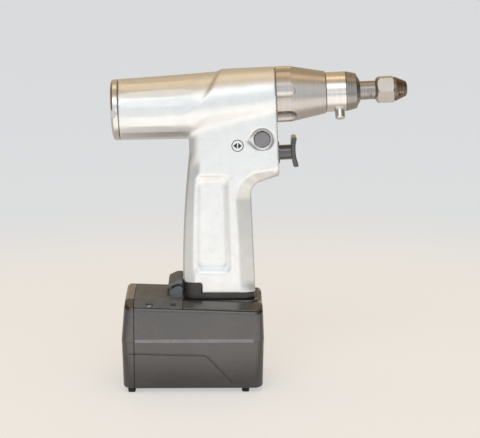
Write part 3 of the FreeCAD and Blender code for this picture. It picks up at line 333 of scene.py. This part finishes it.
def finishOf(name, look, metal, sockets=None):
    material = bpy.data.materials.new(name)
    material.use_nodes = True
    shader = material.node_tree.nodes["Principled BSDF"]
    shader.inputs["Base Color"].default_value = (*look["colour"], 1.0)
    shader.inputs["Roughness"].default_value = look["rough"]
    shader.inputs["Metallic"].default_value = metal
    for label, value in (sockets or {}).items():
        shader.inputs[label].default_value = value
    return material, material.node_tree, shader


def use(tree, effect, **values):
    node = tree.nodes.new("ShaderNodeGroup")
    node.node_tree = effect
    for label, value in values.items():
        node.inputs[label].default_value = value
    return node.outputs


def relief(tree, shader, height, depth):
    # raises or sinks the surface by height times depth, on top of the normal that it already has
    bump = tree.nodes.new("ShaderNodeBump")
    bump.inputs["Distance"].default_value = depth
    tree.links.new(height, bump.inputs["Height"])
    previous = shader.inputs["Normal"].links
    if previous:
        tree.links.new(previous[0].from_socket, bump.inputs["Normal"])
    tree.links.new(bump.outputs["Normal"], shader.inputs["Normal"])


def softEdges(tree, shader, width, samples=6):
    # sharp edges catch the light as if they were rounded
    bevel = tree.nodes.new("ShaderNodeBevel")
    bevel.samples = samples
    bevel.inputs["Radius"].default_value = width
    tree.links.new(bevel.outputs["Normal"], shader.inputs["Normal"])


def cover(tree, colour, mask, share, over):
    # lays the colour over by a share of the mask
    return blendColour(tree, combine(tree, "MULTIPLY", mask, share), colour, over)


# Finishes

def castSkin(name, look):
    # blasted and sealed light metal: pale grain, greyer in the mottles, polished where it is handled
    cast = {"wearWide": 1.5, "breakup": 600.0, "scratches": 45.0, "mottle": (0.35, 0.68), "dirt": 0.45,
            "worn": 0.5, "polish": 0.07, "scratchPolish": 0.06, "scratchDepth": 0.6}
    material, tree, shader = finishOf(name, look, look["metal"])
    softEdges(tree, shader, look["edge"])
    grain = use(tree, skinGrain, Scale=look["grain"])
    marks = use(tree, handlingMarks, Scale=look["marks"])
    wear = use(tree, edgeWear, Width=look["edge"] * cast["wearWide"], Breakup=cast["breakup"])
    scratch = use(tree, fineScratches, Scale=cast["scratches"])
    mottle = spread(tree, grain["Mottle"], *cast["mottle"])
    colour = blendColour(tree, mottle, look["colour"], look["shade"])
    colour = cover(tree, colour, marks["Speck"], cast["dirt"], look["dirt"])
    colour = cover(tree, colour, wear["Mask"], cast["worn"], look["worn"])
    tree.links.new(colour, shader.inputs["Base Color"])
    gloss = spread(tree, marks["Patch"], 0.0, 1.0, look["rough"], look["rough"] - cast["polish"])
    polish = combine(tree, "MULTIPLY", scratch["Mask"], cast["scratchPolish"])
    tree.links.new(combine(tree, "SUBTRACT", gloss, polish, True), shader.inputs["Roughness"])
    relief(tree, shader, grain["Height"], look["depth"])
    relief(tree, shader, scratch["Mask"], -look["depth"] * cast["scratchDepth"])
    return material


def turnedMetal(name, look):
    # metal turned in a lathe: rings round the drill axis, streaks of tint, bright worn edges
    turned = {"wearWide": 1.5, "breakup": 900.0, "marks": 60.0, "streak": (0.36, 0.66), "dirt": 0.35,
              "worn": 0.6, "dull": 1.35}
    material, tree, shader = finishOf(name, look, 1.0)
    softEdges(tree, shader, look["edge"])
    rings = use(tree, turningLines, Pitch=look["pitch"])
    marks = use(tree, handlingMarks, Scale=turned["marks"])
    wear = use(tree, edgeWear, Width=look["edge"] * turned["wearWide"], Breakup=turned["breakup"])
    streak = spread(tree, rings["Streak"], *turned["streak"])
    colour = blendColour(tree, streak, look["colour"], look["shade"])
    colour = cover(tree, colour, marks["Speck"], turned["dirt"], look["dirt"])
    colour = cover(tree, colour, wear["Mask"], turned["worn"], look["worn"])
    tree.links.new(colour, shader.inputs["Base Color"])
    gloss = spread(tree, marks["Patch"], 0.0, 1.0, look["rough"], look["rough"] * turned["dull"])
    tree.links.new(gloss, shader.inputs["Roughness"])
    relief(tree, shader, rings["Height"], look["depth"])
    return material


def mouldedPlastic(name, look):
    # moulded plastic: spark-eroded grain, rubbed patches, pale scuffs along its edges
    moulded = {"wearWide": 1.5, "breakup": 500.0, "scratches": 55.0, "mottle": (0.36, 0.66),
               "fleck": (0.50, 0.64), "fleckShade": 0.2, "edgeScuff": 1.6, "dull": 0.10,
               "coatBend": 1.75, "coatRough": 0.16}
    material, tree, shader = finishOf(name, look, 0.0, {
        "Specular IOR Level": look["gloss"], "Coat Weight": look.get("coat", 0.0),
        "Coat IOR": moulded["coatBend"], "Coat Roughness": moulded["coatRough"]})
    softEdges(tree, shader, look["edge"])
    grain = use(tree, skinGrain, Scale=look["grain"])
    marks = use(tree, handlingMarks, Scale=look["marks"])
    wear = use(tree, edgeWear, Width=look["edge"] * moulded["wearWide"], Breakup=moulded["breakup"])
    scratch = use(tree, fineScratches, Scale=moulded["scratches"])
    mottle = spread(tree, grain["Mottle"], *moulded["mottle"])
    colour = blendColour(tree, mottle, look["colour"], look["shade"])
    fleck = spread(tree, grain["Height"], *moulded["fleck"])
    fleck = combine(tree, "MULTIPLY", fleck, look.get("fleck", 0.0), True)
    darker = tuple(value * moulded["fleckShade"] for value in look["colour"])
    colour = blendColour(tree, fleck, colour, darker)
    for mask, share in ((scratch["Mask"], 1.0), (wear["Mask"], moulded["edgeScuff"]), (marks["Speck"], 1.0)):
        colour = cover(tree, colour, mask, look["scuff"] * share, look["worn"])
    tree.links.new(colour, shader.inputs["Base Color"])
    gloss = spread(tree, marks["Patch"], 0.0, 1.0, look["rough"], look["rough"] + moulded["dull"])
    tree.links.new(gloss, shader.inputs["Roughness"])
    relief(tree, shader, grain["Height"], look["depth"])
    return material


def cleanMetal(name, look):
    # inner metal pieces: ground or drawn, with a slow change of tint
    ground = {"grain": (0.2, 0.8), "bright": 0.8, "dull": 1.2}
    material, tree, shader = finishOf(name, look, 1.0)
    grain = use(tree, skinGrain, Scale=look["grain"])
    colour = blendColour(tree, grain["Mottle"], look["colour"], look["shade"])
    tree.links.new(colour, shader.inputs["Base Color"])
    gloss = spread(tree, grain["Height"], *ground["grain"], look["rough"] * ground["bright"],
                   look["rough"] * ground["dull"])
    tree.links.new(gloss, shader.inputs["Roughness"])
    relief(tree, shader, grain["Height"], look["depth"])
    return material


looks = {
    "housing_satin": (castSkin, {
        "colour": (0.84, 0.845, 0.84), "shade": (0.79, 0.795, 0.79), "dirt": (0.42, 0.40, 0.37),
        "worn": (0.90, 0.90, 0.89), "rough": 0.44, "metal": 1.0, "grain": 2600.0, "marks": 26.0,
        "edge": 0.0012, "depth": 0.00004}),
    # painted reflection: the steels' base colours lean warm, standing in for the warm overhead light that
    # they mirror
    "steel_satin": (turnedMetal, {
        "colour": (0.56, 0.52, 0.49), "shade": (0.51, 0.475, 0.445), "dirt": (0.20, 0.18, 0.16),
        "worn": (0.75, 0.73, 0.70), "rough": 0.27, "pitch": 9000.0, "edge": 0.0004, "depth": 0.00001}),
    "steel_polished": (turnedMetal, {
        "colour": (0.78, 0.75, 0.72), "shade": (0.70, 0.67, 0.64), "dirt": (0.35, 0.32, 0.29),
        "worn": (0.86, 0.85, 0.83), "rough": 0.22, "pitch": 12000.0, "edge": 0.0003, "depth": 0.000003}),
    "steel_dark": (turnedMetal, {
        "colour": (0.40, 0.37, 0.35), "shade": (0.32, 0.30, 0.28), "dirt": (0.15, 0.13, 0.12),
        "worn": (0.66, 0.63, 0.60), "rough": 0.30, "pitch": 9000.0, "edge": 0.0004, "depth": 0.00001}),
    "bronze_dark": (turnedMetal, {
        "colour": (0.34, 0.26, 0.19), "shade": (0.12, 0.09, 0.065), "dirt": (0.04, 0.03, 0.025),
        "worn": (0.62, 0.50, 0.36), "rough": 0.28, "pitch": 9000.0, "edge": 0.0004, "depth": 0.00001}),
    "steel_plain": (cleanMetal, {
        "colour": (0.60, 0.60, 0.60), "shade": (0.52, 0.52, 0.53), "rough": 0.24, "grain": 1800.0,
        "depth": 0.000005}),
    "spring_steel": (cleanMetal, {
        "colour": (0.45, 0.46, 0.48), "shade": (0.36, 0.37, 0.39), "rough": 0.30, "grain": 2400.0,
        "depth": 0.000005}),
    "copper": (cleanMetal, {
        "colour": (0.72, 0.36, 0.18), "shade": (0.60, 0.27, 0.12), "rough": 0.32, "grain": 3000.0,
        "depth": 0.00004}),
    "contact_gold": (cleanMetal, {
        "colour": (0.83, 0.63, 0.28), "shade": (0.76, 0.55, 0.22), "rough": 0.22, "grain": 2200.0,
        "depth": 0.000005}),
    "magnet_dark": (cleanMetal, {
        "colour": (0.13, 0.13, 0.14), "shade": (0.09, 0.09, 0.10), "rough": 0.45, "grain": 2200.0,
        "depth": 0.00001}),
    "trigger_black": (mouldedPlastic, {
        "colour": (0.018, 0.018, 0.020), "shade": (0.028, 0.027, 0.028), "worn": (0.18, 0.17, 0.16),
        "rough": 0.12, "gloss": 0.9, "grain": 2200.0, "marks": 40.0, "edge": 0.0004, "depth": 0.000006,
        "scuff": 0.25, "coat": 0.6}),
    "button_grey": (mouldedPlastic, {
        "colour": (0.27, 0.255, 0.28), "shade": (0.22, 0.21, 0.235), "worn": (0.48, 0.46, 0.47),
        "rough": 0.40, "gloss": 0.5, "grain": 2200.0, "marks": 60.0, "edge": 0.0005, "depth": 0.00002,
        "scuff": 0.4}),
    "battery_black": (mouldedPlastic, {
        "colour": (0.017, 0.014, 0.0145), "shade": (0.034, 0.026, 0.024), "worn": (0.30, 0.27, 0.25),
        "rough": 0.22, "gloss": 0.9, "grain": 900.0, "marks": 22.0, "edge": 0.0012, "depth": 0.0001,
        "scuff": 0.03, "coat": 0.5, "fleck": 0.85}),
    "deck_grey": (mouldedPlastic, {
        "colour": (0.165, 0.168, 0.178), "shade": (0.135, 0.138, 0.147), "worn": (0.34, 0.34, 0.35),
        "rough": 0.50, "gloss": 0.45, "grain": 2600.0, "marks": 40.0, "edge": 0.0006, "depth": 0.00003,
        "scuff": 0.25}),
    "shoe_black": (mouldedPlastic, {
        "colour": (0.030, 0.028, 0.028), "shade": (0.045, 0.041, 0.040), "worn": (0.22, 0.20, 0.19),
        "rough": 0.34, "gloss": 0.5, "grain": 2400.0, "marks": 40.0, "edge": 0.0006, "depth": 0.00002,
        "scuff": 0.2}),
    "rubber_black": (mouldedPlastic, {
        "colour": (0.022, 0.022, 0.022), "shade": (0.035, 0.034, 0.033), "worn": (0.12, 0.12, 0.12),
        "rough": 0.70, "gloss": 0.3, "grain": 3000.0, "marks": 60.0, "edge": 0.0004, "depth": 0.00003,
        "scuff": 0.3}),
    "chip_black": (mouldedPlastic, {
        "colour": (0.020, 0.020, 0.021), "shade": (0.032, 0.032, 0.033), "worn": (0.12, 0.12, 0.12),
        "rough": 0.55, "gloss": 0.4, "grain": 3000.0, "marks": 60.0, "edge": 0.0002, "depth": 0.00002,
        "scuff": 0.1}),
    "board_green": (mouldedPlastic, {
        "colour": (0.02, 0.14, 0.055), "shade": (0.03, 0.18, 0.075), "worn": (0.45, 0.40, 0.18),
        "rough": 0.35, "gloss": 0.5, "grain": 1600.0, "marks": 90.0, "edge": 0.0002, "depth": 0.00002,
        "scuff": 0.3}),
    "cell_sleeve": (mouldedPlastic, {
        "colour": (0.06, 0.14, 0.34), "shade": (0.05, 0.11, 0.28), "worn": (0.25, 0.32, 0.46),
        "rough": 0.28, "gloss": 0.5, "grain": 900.0, "marks": 30.0, "edge": 0.0003, "depth": 0.00001,
        "scuff": 0.2}),
}
finishes = {slot: make(slot, look) for slot, (make, look) in looks.items()}
print("stage: finishes")


# Every node of the frame takes its finish

slotOf = {row["node"]: row["material_slot"] for row in frame["record"]["subparts"]}
# painted shade: these two take a darker steel than the ring, which shares their slot in the record, standing
# in for the dark surroundings that the shaft mirrors
slotOf["chuck_shaft"] = slotOf["chuck_cross_pin"] = "steel_dark"
for name, node in nodes.items():
    node.data.materials.clear()
    node.data.materials.append(finishes[slotOf[name]])
print("stage: nodes dressed")


# Pieces that stand for CAD nodes

def settle(piece):
    # the modifiers' result becomes the piece's own mesh
    graph = bpy.context.evaluated_depsgraph_get()
    mesh = bpy.data.meshes.new_from_object(piece.evaluated_get(graph))
    piece.modifiers.clear()
    piece.data = mesh


def shadeSmooth(mesh):
    mesh.polygons.foreach_set("use_smooth", [True] * len(mesh.polygons))


def smoothStep(value, low, high):
    share = min(1.0, max(0.0, (value - low) / (high - low)))
    return share * share * (3.0 - 2.0 * share)


def toDrillAxis(point, nose):
    # a point of the frame, in mm, along and across the drill axis from the housing's front face
    x = point.x / mm - nose["x"]
    z = point.z / mm - nose["z"]
    return (x * math.cos(tilt) + z * math.sin(tilt), point.y / mm, z * math.cos(tilt) - x * math.sin(tilt))


def lineGap(x, z, line):
    # distance in mm from a point to a polyline, and how far along it (0 to 1) the nearest point is
    best, share = 1e9, 0.0
    for index, ((x0, z0), (x1, z1)) in enumerate(zip(line, line[1:])):
        run, rise = x1 - x0, z1 - z0
        t = min(1.0, max(0.0, ((x - x0) * run + (z - z0) * rise) / (run * run + rise * rise)))
        gap = math.hypot(x - x0 - run * t, z - z0 - rise * t)
        if gap < best:
            best, share = gap, (index + t) / (len(line) - 1)
    return best, share


def shapeGrip(mesh):
    # the handle's edges roll away in broad bevels and its side panel is dished
    grip = {"half": 15.5, "rearWide": 7.5, "frontWide": 9.5, "noseWide": 5.0, "noseFade": (0.35, 1.0),
            "slope": 0.56, "dish": 1.9, "wall": 5.5, "corner": 8.0, "foot": 60.6, "footFade": 68.0,
            "footHold": 0.5, "rearFade": (140.0, 151.0), "top": 152.0, "frontEnd": 12.6, "inner": 9.0,
            "panelFrom": 12.5}
    rear = ((-43.3, 150.0), (-45.4, 130.0), (-46.5, 112.0), (-47.2, 86.0), (-47.5, 58.0))
    front = ((-2.2, 58.0), (-3.8, 98.0), (-5.2, 120.0), (-4.0, 126.7), (-0.7, 130.7), (5.9, 133.3),
             (13.1, 134.6))
    rim = ((-41.0, 136.2), (-18.2, 137.0), (-16.6, 72.8), (-41.8, 73.0))
    for vertex in mesh.vertices:
        x, y, z = (value / mm for value in vertex.co)
        if abs(y) < grip["inner"] or not grip["foot"] - 1.0 < z < grip["top"]:
            continue
        deep = abs(y)
        rearGap, share = lineGap(x, z, rear)
        frontGap, along = lineGap(x, z, front)
        noseShare = smoothStep(along, *grip["noseFade"])
        wide = grip["frontWide"] + (grip["noseWide"] - grip["frontWide"]) * noseShare
        hold = grip["footHold"] + (1.0 - grip["footHold"]) * smoothStep(z, grip["foot"], grip["footFade"])
        for gap, width, fade in ((rearGap, grip["rearWide"], 1.0 - smoothStep(z, *grip["rearFade"])),
                                 (frontGap, wide, 1.0 if x < grip["frontEnd"] else 0.0)):
            limit = grip["half"] - grip["slope"] * (width - gap)
            if gap < width and deep > limit:
                deep -= (deep - limit) * hold * fade
        if deep > grip["panelFrom"]:
            inside = []
            for (x0, z0), (x1, z1) in zip(rim, rim[1:] + rim[:1]):
                run, rise = x1 - x0, z1 - z0
                inside.append(((x - x0) * rise - (z - z0) * run) / math.hypot(run, rise))
            first, second = sorted(inside)[:2]
            if first > 0.0:
                if second < grip["corner"]:
                    away = math.hypot(grip["corner"] - first, grip["corner"] - second)
                    first = grip["corner"] - away
                deep = min(deep, grip["half"] - grip["dish"] * smoothStep(first, 0.0, grip["wall"]))
        vertex.co.y = math.copysign(deep * mm, y)


def markSoftPlaces(piece):
    # says in vertex groups where the skin is smoothed more: under the barrel, along the hood's step
    # and on the grip panel; distances are in mm from the drill axis and the housing's front face,
    # which meet at nose
    nose = {"x": 10.2858, "z": 184.0}
    crease = {"side": 8.5, "rear": -63.0, "front": -1.0, "low": -18.0, "bend": -50.0, "rise": 10.0,
              "fade": (3.5, 7.5), "frontFade": (1.0, 5.0)}
    step = {"radius": 17.6, "drop": 3.0, "rear": -69.0, "front": -28.0, "fade": (3.0, 6.5)}
    stepLine = ((-67.0, -10.2), (-59.0, -7.4), (-53.2, -4.6), (-48.1, -1.2), (-44.4, 2.2), (-41.6, 5.8),
                (-37.7, 12.0), (-34.4, 16.4), (-30.5, 22.0))
    panel = {"side": 12.5, "low": 68.0, "high": 141.0}
    least = 0.02
    groups = {name: piece.vertex_groups.new(name=name) for name in ("crease", "step", "panel")}
    for vertex in piece.data.vertices:
        along, side, up = toDrillAxis(vertex.co, nose)
        kind, weight = "", 0.0
        if abs(side) > crease["side"] and crease["rear"] < along < crease["front"] and up < 0.0:
            line = crease["low"] - crease["rise"] * max(0.0, along - crease["bend"]) / crease["bend"]
            kind = "crease"
            weight = 1.0 - smoothStep(abs(up - line), *crease["fade"])
            weight *= smoothStep(-along, *crease["frontFade"])
        elif math.hypot(side, up + step["drop"]) > step["radius"] and step["rear"] < along < step["front"]:
            gap, share = lineGap(along, up, stepLine)
            kind = "step"
            weight = 1.0 - smoothStep(gap, *step["fade"])
        elif abs(side) > panel["side"] and panel["low"] < vertex.co.z / mm < panel["high"]:
            kind, weight = "panel", 1.0
        if weight > least:
            groups[kind].add((vertex.index,), weight, "REPLACE")


def makeHousingSkin():
    # the casting's outside as one even mesh: the barrel flows into the handle and the hood's step is soft
    skin = {"weld": 0.002, "voxel": 0.6, "factor": 0.5, "keep": 0.42,
            "rounds": {"all": 4, "crease": 70, "step": 36, "panel": 14}}
    mesh = nodes["housing"].data.copy()
    piece = bpy.data.objects.new("housingSkin", mesh)
    scene.collection.objects.link(piece)
    form = bmesh.new()
    form.from_mesh(mesh)
    bmesh.ops.remove_doubles(form, verts=form.verts, dist=skin["weld"] * mm)
    form.to_mesh(mesh)
    form.free()
    remesh = piece.modifiers.new("even", "REMESH")
    remesh.mode = "VOXEL"
    remesh.voxel_size = skin["voxel"] * mm
    settle(piece)
    shapeGrip(piece.data)
    markSoftPlaces(piece)
    for name, rounds in skin["rounds"].items():
        smooth = piece.modifiers.new(name, "SMOOTH")
        smooth.factor = skin["factor"]
        smooth.iterations = rounds
        smooth.vertex_group = "" if name == "all" else name
    thin = piece.modifiers.new("thin", "DECIMATE")
    thin.ratio = skin["keep"]
    settle(piece)
    shadeSmooth(piece.data)
    piece.data.materials.clear()
    piece.data.materials.append(finishes["housing_satin"])
    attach(piece, "handpiece")
    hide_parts("housing")
    print("stage: housing skin", len(piece.data.polygons))


makeHousingSkin()


# Pieces that only the scene has, and the springs that shorten

def finishPiece(name, vertices, faces, body, slot):
    # vertices are in mm
    mesh = bpy.data.meshes.new(name)
    mesh.from_pydata([tuple(value * mm for value in vertex) for vertex in vertices], [], faces)
    mesh.update()
    piece = bpy.data.objects.new(name, mesh)
    scene.collection.objects.link(piece)
    mesh.materials.append(finishes[slot])
    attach(piece, body)
    return piece


def makeDirectionMark():
    # printed ring with two arrow heads that point apart: drill forwards or backwards
    mark = {"x": -13.5, "z": 154.3, "face": -15.52, "ring": (3.75, 3.25), "sides": 48, "head": 1.9,
            "reach": 1.25, "gap": 0.35}
    flat, faces = [], []
    for step in range(mark["sides"]):
        turn = 2.0 * math.pi * step / mark["sides"]
        flat += [(radius * math.cos(turn), radius * math.sin(turn)) for radius in mark["ring"]]
    count = len(flat)
    for step in range(mark["sides"]):
        first = 2 * step
        faces.append((first, first + 1, (first + 3) % count, (first + 2) % count))
    for way in (-1.0, 1.0):
        foot = way * mark["gap"]
        start = len(flat)
        tip = foot + way * mark["head"] * mark["reach"]
        flat += [(foot, -mark["head"]), (foot, mark["head"]), (tip, 0.0)]
        faces.append((start, start + 1, start + 2) if way < 0.0 else (start, start + 2, start + 1))
    vertices = [(mark["x"] + x, mark["face"], mark["z"] + z) for x, z in flat]
    finishPiece("directionMark", vertices, faces, "handpiece", "chip_black")


def makeRidgeHighlightBead(name, way):
    # narrow rounded bead on the battery's side, just above its ridge; it leans in with the side's draft, and
    # its paler grey finish paints the ridge's highlight
    bead = {"rear": -77.6, "front": -3.6, "z": 33.0, "high": 2.2, "side": 31.0, "proud": 0.30, "steps": 8,
            "end": 2.0, "lean": 0.039, "round": 0.8}
    vertices, faces = [], []
    stations = [(bead["rear"], 0.0), (bead["rear"] + bead["end"], 1.0), (bead["front"] - bead["end"], 1.0),
                (bead["front"], 0.0)]
    rows = bead["steps"] + 1
    for x, share in stations:
        for step in range(rows):
            up = step / bead["steps"]
            swell = bead["proud"] * share * math.sin(math.pi * (1.0 - up) ** bead["round"])
            side = bead["side"] - bead["lean"] * bead["high"] * up + swell
            vertices.append((x, way * side, bead["z"] + bead["high"] * up))
    for station in range(len(stations) - 1):
        for step in range(bead["steps"]):
            low = station * rows + step
            face = (low, low + rows, low + rows + 1, low + 1)
            faces.append(face if way < 0.0 else face[::-1])
    # painted highlight: the bead is finished in paler grey, not the battery's black, so that it shows as a
    # bright line along the ridge
    piece = finishPiece(name, vertices, faces, "battery", "button_grey")
    shadeSmooth(piece.data)


def makeSprings():
    # copies of the springs that a press shortens ride on their body in place of the CAD nodes:
    # the joint, the body, the way to the fixed end and how far the spring shortens in mm
    springs = {"trigger_spring": ("trigger_pull", "handpiece", (-0.998971, 0.0, -0.045363), 6.1),
               "release_pin_spring": ("release_pin_press", "handpiece", (-0.040419, 0.45399, 0.890089), 2.3),
               "latch_spring": ("latch_press", "battery", (0.0, 0.0, -1.0), 1.15)}
    for name, (joint, body, way, travel) in springs.items():
        way = Vector(way)
        mesh = nodes[name].data.copy()
        piece = bpy.data.objects.new(name.split("_")[0] + "Coil", mesh)
        scene.collection.objects.link(piece)
        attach(piece, body)
        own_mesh(piece)
        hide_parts(name)


makeSprings()
makeDirectionMark()
makeRidgeHighlightBead("ridgeHighlightBeadNear", -1.0)
makeRidgeHighlightBead("ridgeHighlightBeadFar", 1.0)
print("stage: springs, mark and beads")
